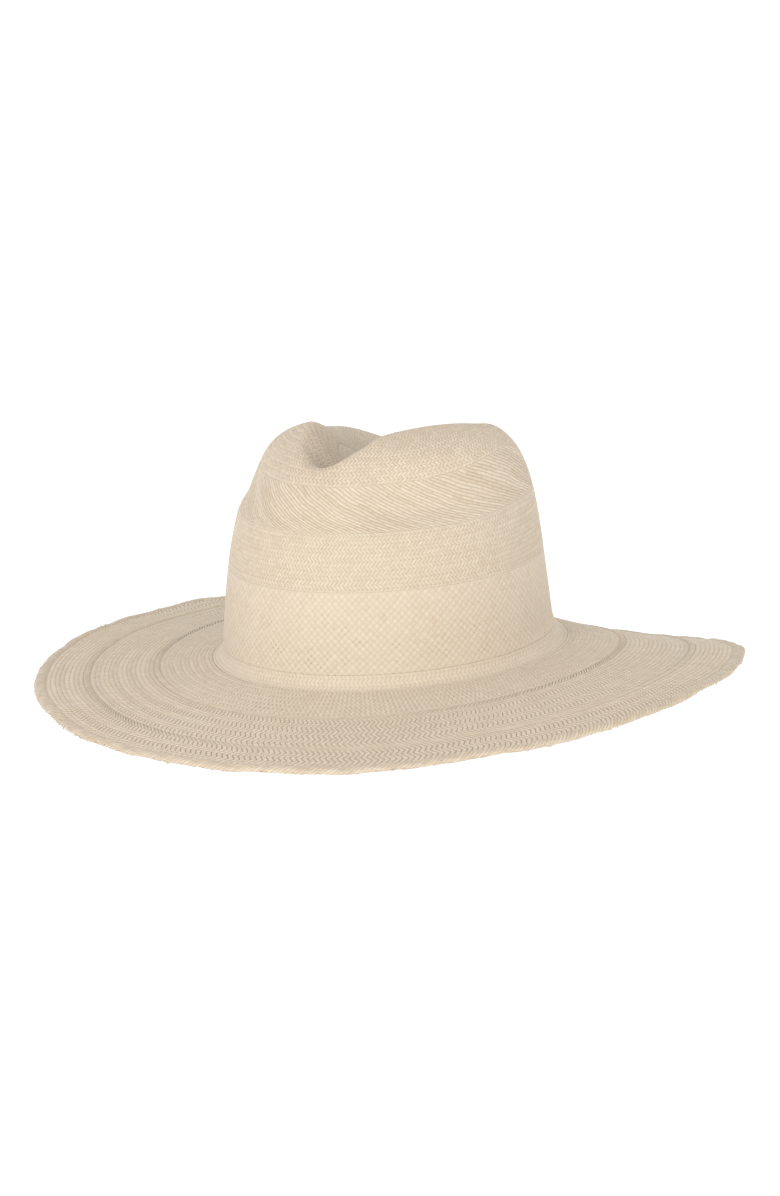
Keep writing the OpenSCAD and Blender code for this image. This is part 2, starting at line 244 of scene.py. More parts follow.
def bump_of(pa, pb, period):
    """Height from 0 to 1 of two families of strands; family a passes over in half of each period."""
    i = np.floor(pa + 1e-6)
    pb = pb + (STAGGER * i if period == STAGGERED else 0)
    j = np.floor(pb + 1e-6)
    fa, fb = pa - i, pb - j
    single = period < 1.5
    over = 1 if single else period / 2
    m = np.where(single, 0, np.mod(i + j, period))
    on = m < over
    run = np.where(on, (m + fb) / over, (m - over + fa) / max(period - over, 1))
    across = np.where(on, fa, fb)
    crown = np.sqrt(np.clip(1 - (2 * across - 1) ** 2 * 0.96, 0, 1))
    arch = np.clip(np.sin(math.pi * np.clip(run, 0, 1)), 0, 1) ** 0.5
    return crown * (0.55 + 0.45 * arch)


def outward(points, faces):
    """The faces, turned so that the closed shape's volume is positive, and whether they were turned."""
    p = points[faces]
    c = points.mean(0)
    v = np.einsum("ij,ij->i", p[:, 0] - c, np.cross(p[:, 1] - c, p[:, 2] - c)).sum()
    v += np.einsum("ij,ij->i", p[:, 0] - c, np.cross(p[:, 2] - c, p[:, 3] - c)).sum()
    return (faces[:, ::-1], True) if v < 0 else (faces, False)


def mesh_of(name, points, faces, flat=None, corners=None):
    """A linked object from points in mm and quads; flat marks flat faces, corners are strand coordinates."""
    mesh = bpy.data.meshes.new(name)
    points = np.asarray(points, float)
    faces, turned = outward(points, np.asarray(faces))
    mesh.vertices.add(len(points))
    mesh.vertices.foreach_set("co", (points * MM).astype(np.float32).ravel())
    k = faces.shape[1]
    mesh.loops.add(faces.size)
    mesh.loops.foreach_set("vertex_index", faces.astype(np.int32).ravel())
    mesh.polygons.add(len(faces))
    mesh.polygons.foreach_set("loop_start", (np.arange(len(faces)) * k).astype(np.int32))
    mesh.update(calc_edges=True)
    mesh.polygons.foreach_set("use_smooth", np.ones(len(faces), bool) if flat is None else ~flat)
    if corners is not None:
        corners = corners.reshape(len(faces), k, -1)
        add_attribute(mesh, "weave", "FLOAT_VECTOR", "CORNER", corners[:, ::-1] if turned else corners)
    obj = bpy.data.objects.new(name, mesh)
    bpy.context.collection.objects.link(obj)
    return obj


def ring_quads(rows, cols):
    """Quads of a tube of rows rings, joined back to the first."""
    j = np.arange(rows)[:, None]
    i = np.arange(cols)[None, :]
    j2, i2 = (j + 1) % rows, (i + 1) % cols
    return np.stack([j * cols + i, j * cols + i2, j2 * cols + i2, j2 * cols + i], -1).reshape(-1, 4)


def ring_corners(values, last):
    """Corner values of ring_quads for a row-by-column array; last holds the value one column past the end."""
    full = np.concatenate([values, last], 1)
    rows = values.shape[0]
    j = np.arange(rows)[:, None]
    i = np.arange(values.shape[1])[None, :]
    j2 = (j + 1) % rows
    return np.stack([full[j, i], full[j, i + 1], full[j2, i + 1], full[j2, i]], 2).reshape(-1, full.shape[-1])


def add_attribute(mesh, name, kind, domain, values):
    layer = mesh.attributes.new(name, kind, domain)
    key = "vector" if kind == "FLOAT_VECTOR" else "value"
    layer.data.foreach_set(key, np.asarray(values, np.float32).ravel())


STRAND_MID = 0.62  # height of bump_of that lies on the straw's own skin, chosen a little under its mean
RIM_ROWS, TINT_AND_SHADE_ROWS = 2.5, 1.5  # mesh rows from a band's rim over which relief, and the strands' tint with the painted shade in their gaps, come in
BACK_RELIEF = 0.8  # relief of the straw's inner side as a share of its outer side


def straw_band(node, s0, s1, turns, per, pitch, rows_per, relief, across=(1, 0), along=(0, 1), period=2,
               mirror=0.0, wave=0.0, bulge=0.0, paler=0.0, tint_and_gap_shade=1.0, dip=0.1, pin=0.0, under=2, seed=1):
    """One woven band between stations s0 and s1.
    turns: strand pitches round the ring; per: mesh columns in each.
    pitch: mm of a weave row; rows_per: mesh rows in each.
    across and along give the two strand coordinates from (round, down).
    mirror > 0 turns the rows back each mirror rows; wave bends them.
    bulge and dip move the middle and the rims, in mm; under thins the inner side's rows.
    paler sets tone; firm sets the strands' tint contrast and how deep the painted shade in the gaps between
    strands is; pin sets the chance of pinholes, painted as dark spots of shade."""
    cols = int(turns * per)
    a = np.arange(cols + 1) / cols * 2 * math.pi
    fine = np.linspace(s0, s1, 160)
    path = skin(np.full_like(fine, math.radians(70)), fine)  # rows are spaced evenly on this side of the hat
    length = np.concatenate([[0], np.cumsum(np.linalg.norm(np.diff(path, axis=0), axis=1))])
    steps = max(4, int(round(length[-1] / pitch * rows_per)))
    station = np.interp(np.linspace(0, length[-1], steps + 1), length, fine)
    s = station[:, None] + 0 * a[None, :]
    aa = 0 * s + a[None, :]
    u = 0 * s + (np.arange(cols + 1) / per)[None, :]
    v = 0 * s + (np.arange(steps + 1) / rows_per)[:, None]
    ring = np.concatenate([shake(cols, seed), [0]])
    ring[-1] = ring[0]
    ring2 = np.concatenate([shake(cols, seed + 9, 14), [0]])
    ring2[-1] = ring2[0]
    vv = v + wave * (ring[None, :] * 0.6 + ring2[None, :] * np.sin(v * 0.55 + seed) * 0.5)
    uu = u + wave * 0.5 * ring2[None, :] * np.cos(v * 0.4)
    if mirror:
        vt = np.abs(np.mod(vv, 2 * mirror) - mirror)
    else:
        vt = vv
    pa = across[0] * uu + across[1] * vt
    pb = along[0] * uu + along[1] * (vv if mirror else vt)
    h = bump_of(pa, pb, period)
    base = skin(aa, s)
    n = skin_normal(aa, s)
    share = np.linspace(0, 1, steps + 1)[:, None]
    rim = np.clip(np.minimum(share, 1 - share) * steps / RIM_ROWS, 0, 1)
    lift = relief * (h - STRAND_MID) * rim - dip * (1 - rim) + bulge * np.sin(math.pi * share)
    outer = base + n * lift[..., None]
    # underside, with the same strands seen from behind, on fewer mesh rows
    pick = np.unique(np.concatenate([np.arange(0, steps + 1, under), [steps]]))[::-1]
    h2 = bump_of(pa[pick] + 0.5, pb[pick] + 0.5, period)
    depth = STRAW_T + relief * BACK_RELIEF * (h2 - STRAND_MID) * rim[pick]
    inner = base[pick] - n[pick] * depth[..., None]
    rings = np.concatenate([outer, inner], 0)
    points = rings[:, :-1].reshape(-1, 3)
    faces = ring_quads(len(rings), cols)
    cut = np.zeros((len(rings), cols), bool)
    cut[steps] = cut[-1] = True
    co = np.stack([np.concatenate([pa, pa[pick] + 0.5]), np.concatenate([pb, pb[pick] + 0.5]),
                   np.full((len(rings), cols + 1), float(period))], -1)
    obj = mesh_of(node + "_woven", points, faces, cut.ravel(), ring_corners(co[:, :-1], co[:, -1:]))
    # firm: the strands' tint contrast and the strength of the painted shade in their gaps, fading in from
    # each rim
    fade = np.clip(np.minimum(share, 1 - share) * steps / TINT_AND_SHADE_ROWS, 0.1, 1) + 0 * a[None, :-1]
    add_attribute(obj.data, "tint_and_gap_shade", "FLOAT", "POINT", tint_and_gap_shade * np.concatenate([fade, fade[pick]]))
    holes = pin * share**2 + 0 * a[None, :-1]
    add_attribute(obj.data, "pin", "FLOAT", "POINT", np.concatenate([holes, holes[pick]]))
    first, last = paler if isinstance(paler, tuple) else (paler, paler)
    tone = first + (last - first) * share + 0 * a[None, :-1]
    add_attribute(obj.data, "pale", "FLOAT", "POINT", np.concatenate([tone, tone[pick]]))
    return obj


def finish_piece(obj, nodes, body, material):
    """Gives a piece its material and body, and hides the CAD nodes it stands in for."""
    obj.data.materials.clear()
    obj.data.materials.append(material)
    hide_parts(*nodes)
    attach(obj, body)


# ---------------------------------------------------------------- materials
class Graph:
    """Short spellings for building a node material."""

    def __init__(self, name):
        self.mat = bpy.data.materials.new(name)
        self.mat.use_nodes = True
        self.tree = self.mat.node_tree
        self.tree.nodes.clear()
        self.out = self.tree.nodes.new("ShaderNodeOutputMaterial")
        self.bsdf = self.tree.nodes.new("ShaderNodeBsdfPrincipled")
        self.tree.links.new(self.bsdf.outputs[0], self.out.inputs[0])

    def put(self, socket, value):
        if hasattr(value, "is_output"):
            self.tree.links.new(value, socket)
        else:
            socket.default_value = value

    def math(self, op, a, b=0.0, c=0.0):
        n = self.tree.nodes.new("ShaderNodeMath")
        n.operation = op
        for k, v in enumerate((a, b, c)):
            self.put(n.inputs[k], v)
        return n.outputs[0]

    def attribute(self, name, out="Fac"):
        n = self.tree.nodes.new("ShaderNodeAttribute")
        n.attribute_name = name
        return n.outputs[out]

    def split(self, vector):
        n = self.tree.nodes.new("ShaderNodeSeparateXYZ")
        self.put(n.inputs[0], vector)
        return n.outputs

    def join(self, x, y=0.0, z=0.0):
        n = self.tree.nodes.new("ShaderNodeCombineXYZ")
        for k, v in enumerate((x, y, z)):
            self.put(n.inputs[k], v)
        return n.outputs[0]

    def noise(self, vector, scale, detail=2.0, rough=0.5):
        n = self.tree.nodes.new("ShaderNodeTexNoise")
        self.put(n.inputs["Vector"], vector)
        n.inputs["Scale"].default_value = scale
        n.inputs["Detail"].default_value = detail
        n.inputs["Roughness"].default_value = rough
        return n.outputs["Fac"]

    def chance(self, vector):
        n = self.tree.nodes.new("ShaderNodeTexWhiteNoise")
        n.noise_dimensions = "3D"
        self.put(n.inputs["Vector"], vector)
        return n.outputs["Value"]

    def coords(self):
        return self.tree.nodes.new("ShaderNodeTexCoord").outputs["Object"]

    def mix(self, fac, a, b):
        n = self.tree.nodes.new("ShaderNodeMix")
        n.data_type = "RGBA"
        n.clamp_factor = True
        self.put(n.inputs[0], fac)
        self.put(n.inputs[6], a)
        self.put(n.inputs[7], b)
        return n.outputs[2]

    def ramp(self, value, low, high, to_low=0.0, to_high=1.0):
        n = self.tree.nodes.new("ShaderNodeMapRange")
        self.put(n.inputs[0], value)
        for k, v in zip((1, 2, 3, 4), (low, high, to_low, to_high)):
            self.put(n.inputs[k], v)
        return n.outputs[0]

    def bump(self, height, strength, distance):
        n = self.tree.nodes.new("ShaderNodeBump")
        n.inputs["Strength"].default_value = strength
        n.inputs["Distance"].default_value = distance
        self.put(n.inputs["Height"], height)
        self.tree.links.new(n.outputs[0], self.bsdf.inputs["Normal"])

    def finish(self, colour, rough, sheen=0.0, spec=0.5):
        self.put(self.bsdf.inputs["Base Color"], colour)
        self.put(self.bsdf.inputs["Roughness"], rough)
        self.bsdf.inputs["Sheen Weight"].default_value = sheen
        self.bsdf.inputs["Specular IOR Level"].default_value = spec
        return self.mat


def rgb(*c):
    return (c[0], c[1], c[2], 1.0)


def straw_material():
    """Strands, gaps, fibres and pinholes from the same strand coordinates as the meshes' relief, with painted
    shade in the gaps, at the strands' tucked ends and in the pinholes.
    """
    g = Graph("straw")
    pa, pb, period = g.split(g.attribute("weave", "Vector"))
    i = g.math("FLOOR", pa)
    uneven = g.math("MULTIPLY", g.math("COMPARE", period, STAGGERED, 0.1), STAGGER)
    pb = g.math("ADD", pb, g.math("MULTIPLY", i, uneven))
    j = g.math("FLOOR", pb)
    fa, fb = g.math("SUBTRACT", pa, i), g.math("SUBTRACT", pb, j)
    single = g.math("LESS_THAN", period, 1.5)
    over = g.math("MAXIMUM", g.math("MULTIPLY", period, 0.5), single)
    turn = g.math("FLOORED_MODULO", g.math("ADD", i, j), period)
    m = g.math("MULTIPLY", turn, g.math("SUBTRACT", 1.0, single))
    on = g.math("MAXIMUM", g.math("LESS_THAN", m, g.math("SUBTRACT", over, 0.01)), single)
    off = g.math("SUBTRACT", 1.0, on)
    across = g.math("ADD", g.math("MULTIPLY", fa, on), g.math("MULTIPLY", fb, off))
    length = g.math("ADD", g.math("MULTIPLY", pb, on), g.math("MULTIPLY", pa, off))
    strand = g.math("ADD", g.math("MULTIPLY", i, on), g.math("MULTIPLY", j, off))
    side = g.math("ABSOLUTE", g.math("SUBTRACT", g.math("MULTIPLY", across, 2.0), 1.0))
    gap = g.ramp(side, 0.66, 0.97)
    run_a = g.math("DIVIDE", g.math("ADD", m, fb), over)
    rest = g.math("MAXIMUM", g.math("SUBTRACT", period, over), 1.0)
    run_b = g.math("DIVIDE", g.math("ADD", g.math("SUBTRACT", m, over), fa), rest)
    run = g.math("ADD", g.math("MULTIPLY", run_a, on), g.math("MULTIPLY", run_b, off))
    ends = g.ramp(g.math("ABSOLUTE", g.math("SUBTRACT", g.math("MULTIPLY", run, 2.0), 1.0)), 0.7, 1.0)
    cell = g.join(strand, g.math("FLOOR", g.math("MULTIPLY", length, 0.22)), on)
    piece = g.chance(g.join(i, j, 3.0))
    aligned = g.math("COMPARE", period, 1.0, 0.1)
    own = g.math("MULTIPLY", g.chance(cell), g.math("SUBTRACT", 1.0, aligned))
    own = g.math("ADD", own, g.math("MULTIPLY", piece, aligned))
    tint_and_gap_shade = g.attribute("tint_and_gap_shade")
    tint = g.math("MULTIPLY", g.math("SUBTRACT", own, 0.5), g.math("MINIMUM", tint_and_gap_shade, 1.0))
    tint = g.math("ADD", tint, 0.5)
    stretched = g.join(g.math("MULTIPLY", across, 5.0), g.math("MULTIPLY", length, 0.5), strand)
    fibre = g.noise(stretched, 2.2, 3.0)
    blotch = g.noise(g.coords(), 16.0, 3.0, 0.55)
    fine = g.noise(g.coords(), 900.0, 2.0, 0.6)
    base = g.mix(tint, rgb(0.57, 0.475, 0.362), rgb(0.67, 0.578, 0.46))
    base = g.mix(g.ramp(piece, 0.86, 1.0, 0.0, 0.35), base, rgb(0.50, 0.375, 0.235))
    base = g.mix(g.ramp(blotch, 0.35, 0.7, 0.0, 0.3), base, rgb(0.565, 0.465, 0.345))
    pale = g.attribute("pale")
    base = g.mix(g.ramp(pale, 0.0, 1.0), base, rgb(0.74, 0.655, 0.53))
    base = g.mix(g.ramp(pale, 0.0, -1.0), base, rgb(0.36, 0.27, 0.17))
    base = g.mix(g.ramp(fibre, 0.35, 0.7, 0.0, 0.22), base, rgb(0.45, 0.35, 0.235))
    # painted shade: the gaps between strands, and a little the ends where a strand passes under, are darkened
    # toward a shadow brown
    loose = g.math("COMPARE", period, STAGGERED, 0.1)
    end_share = g.math("SUBTRACT", 0.42, g.math("MULTIPLY", loose, 0.02))
    dark = g.math("MAXIMUM", gap, g.math("MULTIPLY", ends, end_share))
    base = g.mix(g.math("MULTIPLY", g.math("MULTIPLY", dark, 0.55), tint_and_gap_shade), base, rgb(0.30, 0.21, 0.12))
    # now and then a pinhole where two gaps cross, painted as a near-black spot: painted shade of the hat's
    # inside seen through the hole
    corner = g.math("MULTIPLY", g.ramp(side, 0.55, 0.8), g.ramp(ends, 0.0, 0.5))
    hole = g.math("MULTIPLY", corner, g.math("LESS_THAN", g.chance(g.join(i, j, 8.0)), g.attribute("pin")))
    base = g.mix(g.math("MULTIPLY", hole, 0.85), base, rgb(0.12, 0.075, 0.04))
    crest = g.math("SQRT", g.math("SUBTRACT", 1.02, g.math("MULTIPLY", side, side)))
    arch = g.math("SUBTRACT", 1.0, g.math("MULTIPLY", ends, 0.6))
    height = g.math("ADD", g.math("MULTIPLY", crest, arch), g.math("MULTIPLY", fibre, 0.28))
    height = g.math("ADD", height, g.math("MULTIPLY", fine, 0.10))
    g.bump(height, 0.55, 0.0004)
    rough = g.ramp(fibre, 0.3, 0.8, 0.52, 0.72)
    return g.finish(base, rough, 0.12, 0.38)


def leather_material():
    """Tan leather: clouded colour, pores and a fine grain."""
    g = Graph("leather")
    c = g.coords()
    cloud, pores, grain = g.noise(c, 24.0, 4.0), g.noise(c, 1500.0, 2.0, 0.6), g.noise(c, 420.0, 3.0, 0.6)
    base = g.mix(g.ramp(cloud, 0.3, 0.7), rgb(0.30, 0.155, 0.07), rgb(0.42, 0.235, 0.115))
    base = g.mix(g.ramp(pores, 0.62, 0.75, 0.0, 0.5), base, rgb(0.16, 0.075, 0.03))
    g.bump(g.math("ADD", g.math("MULTIPLY", grain, 0.8), g.math("MULTIPLY", pores, 0.35)), 0.35, 0.0003)
    return g.finish(base, g.ramp(grain, 0.3, 0.7, 0.38, 0.55), 0.0, 0.5)


def cloth_material(name, low, high, weave, rough=0.7, sheen=0.3):
    """Woven ribbon or tape between two colours; weave is its ribs' frequency in radians per metre."""
    g = Graph(name)
    c = g.coords()
    x, y, z = g.split(c)
    level = g.math("ADD", x, y)
    ribs = g.math("SINE", g.math("MULTIPLY", level, weave))
    rows = g.math("SINE", g.math("MULTIPLY", z, weave * 1.4))
    cross = g.math("MULTIPLY", g.math("ADD", ribs, rows), 0.2)
    cross = g.math("ADD", cross, 0.5)
    cloud = g.noise(c, 60.0, 3.0)
    fuzz = g.noise(c, 2600.0, 2.0, 0.7)
    base = g.mix(g.math("ADD", g.math("MULTIPLY", cross, 0.55), g.math("MULTIPLY", cloud, 0.45)), low, high)
    g.bump(g.math("ADD", cross, g.math("MULTIPLY", fuzz, 0.6)), 0.5, 0.00022)
    return g.finish(base, g.ramp(fuzz, 0.3, 0.7, rough - 0.08, rough + 0.1), sheen, 0.3)


TWIST = 9000.0  # frequency of a thread's twist in radians per metre


def thread_material(name, low, high):
    """Twisted sewing thread between two colours."""
    g = Graph(name)
    c = g.coords()
    x, y, z = g.split(c)
    ply = g.math("SINE", g.math("MULTIPLY", g.math("ADD", g.math("ADD", x, y), z), TWIST))
    fuzz = g.noise(c, 3500.0, 2.0, 0.7)
    base = g.mix(g.math("ADD", g.math("MULTIPLY", ply, 0.3), g.math("MULTIPLY", fuzz, 0.9)), low, high)
    g.bump(g.math("ADD", g.math("MULTIPLY", ply, 0.5), fuzz), 0.5, 0.0001)
    return g.finish(base, 0.75, 0.2, 0.3)


STRAW = straw_material()
LEATHER = leather_material()
TAPE = cloth_material("reed_tape", rgb(0.50, 0.38, 0.26), rgb(0.70, 0.58, 0.43), 9000.0)
RIBBON = cloth_material("bow_ribbon", rgb(0.045, 0.028, 0.02), rgb(0.11, 0.075, 0.055), 7000.0, 0.5, 0.5)
LABEL = cloth_material("label_ribbon", rgb(0.72, 0.70, 0.64), rgb(0.88, 0.86, 0.81), 11000.0, 0.6, 0.2)
COTTON = thread_material("cotton_thread", rgb(0.62, 0.55, 0.43), rgb(0.86, 0.80, 0.69))
DARK = thread_material("dark_thread", rgb(0.06, 0.04, 0.03), rgb(0.15, 0.11, 0.08))

# ---------------------------------------------------------------- the woven straw body
row_end, out_row_end = INNER_ROW + ROW_W, OUTER_ROW + ROW_W
BANDS = [
    dict(node="crown_tip", s0=0.0, s1=TIP_STOP, turns=70, per=4, pitch=1.9, rows_per=4, relief=0.4,
         across=(1, 0.9), along=(0, 1), period=1, mirror=1.0, wave=0.1, tint_and_gap_shade=0.8),
    dict(node="crown_top", s0=TIP_STOP, s1=crown_s(BAND_TOP), turns=220, per=4, pitch=1.9, rows_per=3,
         relief=0.55, across=(0.8, 0.9), along=(0, 1), period=1, mirror=1.0, wave=0.34,
         tint_and_gap_shade=0.95, dip=0.0, under=4),
    dict(node="crown_slanted_band", s0=crown_s(BAND_TOP), s1=crown_s(SIDE_TOP), turns=140, per=6, pitch=2.0,
         rows_per=5, relief=0.6, across=(-1, 1), along=(0.28, 0.1), period=STAGGERED, wave=0.3, tint_and_gap_shade=0.95,
         dip=0.0),
    dict(node="crown_side", s0=crown_s(SIDE_TOP), s1=crown_s(LOWER_TOP), turns=240, per=4, pitch=2.3,
         rows_per=5, relief=0.56, across=(1, 1.0), along=(0, 1), period=1, mirror=1.0, wave=0.16,
         paler=(0.03, 0.12), tint_and_gap_shade=0.85, dip=0.0),
    dict(node="crown_lower", s0=crown_s(LOWER_TOP), s1=1.0, turns=148, per=6, pitch=3.85, rows_per=6,
         relief=0.22, across=(1, 1), along=(-1, 1), period=2, wave=0.09, paler=(0.12, 0.2),
         tint_and_gap_shade=0.46, dip=0.0, pin=0.09),
    dict(node="crown_foot", s0=1.0, s1=2.0, turns=240, per=4, pitch=2.0, rows_per=4, relief=0.22,
         across=(1, 0.6), along=(0, 1), period=1, mirror=1.0, wave=0.1, paler=(0.2, 0.17),
         tint_and_gap_shade=0.6, dip=0.0),
    dict(node="brim_inner", s0=2.0, s1=brim_s(INNER_ROW), turns=290, per=4, pitch=2.1, rows_per=3, relief=0.6,
         across=(1, 0.6), along=(0, 1), period=1, mirror=1.0, wave=0.22, paler=(0.16, 0.12),
         tint_and_gap_shade=1.2, dip=0.0),
    dict(node="brim_inner_row", s0=brim_s(INNER_ROW), s1=brim_s(row_end), turns=320, per=5, pitch=1.75,
         rows_per=5, relief=0.95, across=(1, 1.0), along=(0, 0.5), period=1, bulge=0.2,
         paler=-0.12, tint_and_gap_shade=1.6, dip=0.02),
    dict(node="brim_middle", s0=brim_s(row_end), s1=brim_s(OUTER_ROW), turns=350, per=4, pitch=2.4,
         rows_per=3, relief=0.8, across=(1, 0.5), along=(0, 1), period=1, mirror=2.0, wave=0.24, paler=0.16,
         tint_and_gap_shade=1.7, dip=0.0),
    dict(node="brim_outer_row", s0=brim_s(OUTER_ROW), s1=brim_s(out_row_end), turns=380, per=5, pitch=1.75,
         rows_per=5, relief=1.0, across=(-1, 1.0), along=(0, 0.5), period=1, bulge=0.25,
         paler=-0.12, tint_and_gap_shade=1.4, dip=0.02),
    dict(node="brim_outer", s0=brim_s(out_row_end), s1=3.0, turns=390, per=4, pitch=2.5, rows_per=4,
         relief=0.9, across=(1, 0.5), along=(0, 1), period=1, mirror=2.0, wave=0.2, paler=0.16,
         tint_and_gap_shade=1.8, dip=0.02),
]
for number, band in enumerate(BANDS):
    piece = straw_band(seed=number + 3, **band)
    finish_piece(piece, [band["node"]], "hat", STRAW)


EDGE_DROP = 0.5  # the roll's middle below the straw's own middle
EDGE_FLAT = 0.78  # its height as a share of the CAD's


def edge_roll():
    """The turned edge: an oval roll of slanted wraps, closed against the brim's cut edge."""
    turns, per = 500, 4
    cols = turns * per
    a = np.arange(cols + 1) / cols * 2 * math.pi
    stop = math.radians(168)  # the roll's section is cut flat beyond this, where it meets the brim
    b = np.linspace(stop, -stop, 24)
    aa, bb = np.meshgrid(a, b)
    uu = aa / (2 * math.pi) * turns
    ring = np.concatenate([shake(cols, 77, 16), [0]])
    ring[-1] = ring[0]
    vv = (stop - bb) / (2 * stop) * 7
    pa, pb = uu + 0.9 * vv, 0.25 * uu + vv * 0.8
    h = bump_of(pa, pb, STAGGERED)
    wraps = np.random.default_rng(5).uniform(-1, 1, turns)[np.mod(np.floor(pa), turns).astype(int)]
    swell = 1 + 0.07 * ring[None, :] + 0.15 * (h - 0.6) + 0.05 * wraps
    inset = 0.7  # the roll reaches this far in over the brim's cut edge
    r_out, r_up = (EDGE_W / 2 + inset) * 0.98 * swell, EDGE_H / 2 * EDGE_FLAT * swell
    x, y = outside(aa, EDGE_AT + EDGE_W / 2 - inset + r_out * np.cos(bb))
    z = edge_z(aa) + waver(aa) - STRAW_T / 2 - EDGE_DROP + r_up * np.sin(bb)
    rings = np.stack([x, y, z], -1)
    co = np.stack([pa, pb, np.full_like(pa, STAGGERED)], -1)
    corners = ring_corners(co[:, :-1], co[:, -1:])
    points = rings[:, :-1].reshape(-1, 3)
    obj = mesh_of("brim_edge_woven", points, ring_quads(len(rings), cols), None, corners)
    add_attribute(obj.data, "tint_and_gap_shade", "FLOAT", "POINT", np.full(h[:, :-1].shape, 1.0))
    add_attribute(obj.data, "pale", "FLOAT", "POINT", np.full(h[:, :-1].shape, -0.1))
    return obj


finish_piece(edge_roll(), ["brim_edge"], "hat", STRAW)


def straw_ends(count=900):
    """Tiny cut ends of straw that stand out of the turned edge, each a four-sided sliver."""
    points, faces = [], []
    for k in range(count):
        a = random.uniform(0, 2 * math.pi)
        b = math.radians(random.gauss(-25, 45))
        b2 = b + math.radians(random.uniform(4, 16))
        turn = math.radians(random.uniform(0.25, 0.75)) * random.choice((-1, 1, 1))
        reach = random.uniform(0.1, 0.75)

        def at(angle, tilt, out):
            x, y = outside(np.array(angle), EDGE_AT + EDGE_W / 2 + (EDGE_W / 2 + out) * math.cos(tilt))
            z = float(edge_z(np.array(angle)) + waver(np.array(angle))) - STRAW_T / 2 - EDGE_DROP
            return np.array([float(x), float(y), z + (EDGE_H / 2 * EDGE_FLAT + out) * math.sin(tilt)])

        root, tip = at(a, b, -0.35), at(a + turn, b2, reach)
        run = (tip - root) / np.linalg.norm(tip - root)
        side = np.cross(run, [0, 0, 1.0])
        side = side / (np.linalg.norm(side) + 1e-9) * random.uniform(0.16, 0.38)
        flat = np.cross(run, side) * 0.35
        start = len(points)
        for centre_at, size in ((root, 1.0), (tip, 0.55)):
            corners = ((1, 0), (0, 1), (-1, 0), (0, -1))
            points += [centre_at + (side * u + flat * v) * size for u, v in corners]
        faces += [[start + m, start + (m + 1) % 4, start + 4 + (m + 1) % 4, start + 4 + m] for m in range(4)]
        faces += [[start, start + 1, start + 2, start + 3], [start + 7, start + 6, start + 5, start + 4]]
    faces = np.array(faces)
    co = np.zeros((len(faces), 4, 3))
    co[..., 0] = np.array([0.2, 0.8, 0.8, 0.2])[None, :] + np.repeat(np.arange(count), 6)[:, None]
    co[..., 1] = np.array([0.3, 0.3, 0.7, 0.7])[None, :]
    co[..., 2] = 1.0
    obj = mesh_of("brim_edge_straw_ends", np.array(points), faces, np.ones(len(faces), bool), co)
    add_attribute(obj.data, "tint_and_gap_shade", "FLOAT", "POINT", np.full(len(points), 0.5))
    add_attribute(obj.data, "pale", "FLOAT", "POINT", np.full(len(points), 0.1))
    obj.data.materials.append(STRAW)
    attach(obj, "hat")


straw_ends()


# ---------------------------------------------------------------- inside the hat
def wall(a, z, depth):
    """The crown's wall at height z, set in by depth."""
    run = creased(*open_dome(a, dome_run(z + 0.5))) - creased(*open_dome(a, dome_run(z)))
    g = math.radians(0.4)
    turn = creased(*open_dome(a + g, dome_run(z))) - creased(*open_dome(a - g, dome_run(z)))
    n = np.cross(turn, run)
    n = n / np.linalg.norm(n, axis=-1, keepdims=True)
    return creased(*open_dome(a, dome_run(z))) - (depth + 0 * a)[:, None] * n


def leather_band():
    """The sweatband: a closed strip that follows the crown's wall, with rounded edges and slight ripples."""
    cols = 384
    a = np.arange(cols) / cols * 2 * math.pi
    soft = 0.35
    profile = [(0.25 + soft, LEATHER_OUT), (0.25, LEATHER_OUT + soft), (0.25, LEATHER_IN - soft),
               (0.25 + soft, LEATHER_IN)]
    inside = [(z, LEATHER_IN) for z in np.linspace(2, BAND_H - 1.2, 22)]
    top = [(BAND_H - soft, LEATHER_IN), (BAND_H, LEATHER_IN - soft), (BAND_H, LEATHER_OUT + soft),
           (BAND_H - soft, LEATHER_OUT)]
    back = [(z, LEATHER_OUT) for z in np.linspace(BAND_H - 1.2, 2, 12)]
    rings = []
    for z, depth in profile + inside + top + back:
        ripple = 0.10 * np.sin(a * 23 + z * 0.2) * np.sin(a * 7 + 1) if depth > 2.2 else 0
        rings.append(wall(a, np.full_like(a, z), depth + ripple))
    rings = np.array(rings)
    return mesh_of("sweatband_leather_band", rings.reshape(-1, 3), ring_quads(len(rings), cols))


def reed():
    """The taped reed along the sweatband's lower edge."""
    cols, sides = 720, 14
    low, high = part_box("sweatband_reed")
    r = (high.z - low.z) / 2 / MM
    z0 = (high.z + low.z) / 2 / MM
    a = np.arange(cols) / cols * 2 * math.pi
    rings = []
    for k in range(sides):
        b = k / sides * 2 * math.pi
        wrap = r * (1 + 0.05 * np.cos(a * 180 + b)) * 0.97
        x, y = outside(a, -REED_INSET - r + wrap * math.cos(b))
        rings.append(np.stack([x, y, z0 - wrap * math.sin(b)], -1))
    return mesh_of("sweatband_reed_taped", np.array(rings).reshape(-1, 3), ring_quads(sides, cols))


def copy_of(node, name, bevel):
    """A visual copy of a CAD node's mesh with softened edges."""
    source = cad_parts[node]
    obj = bpy.data.objects.new(name, source.data.copy())
    bpy.context.collection.objects.link(obj)
    obj.matrix_world = source.matrix_world.copy()
    weld = obj.modifiers.new("weld", "WELD")
    weld.merge_threshold = 0.00001
    soft = obj.modifiers.new("soft", "BEVEL")
    soft.width, soft.segments, soft.limit_method = bevel * MM, 3, "ANGLE"
    soft.angle_limit = math.radians(40)
    for p in obj.data.polygons:
        p.use_smooth = True
    return obj


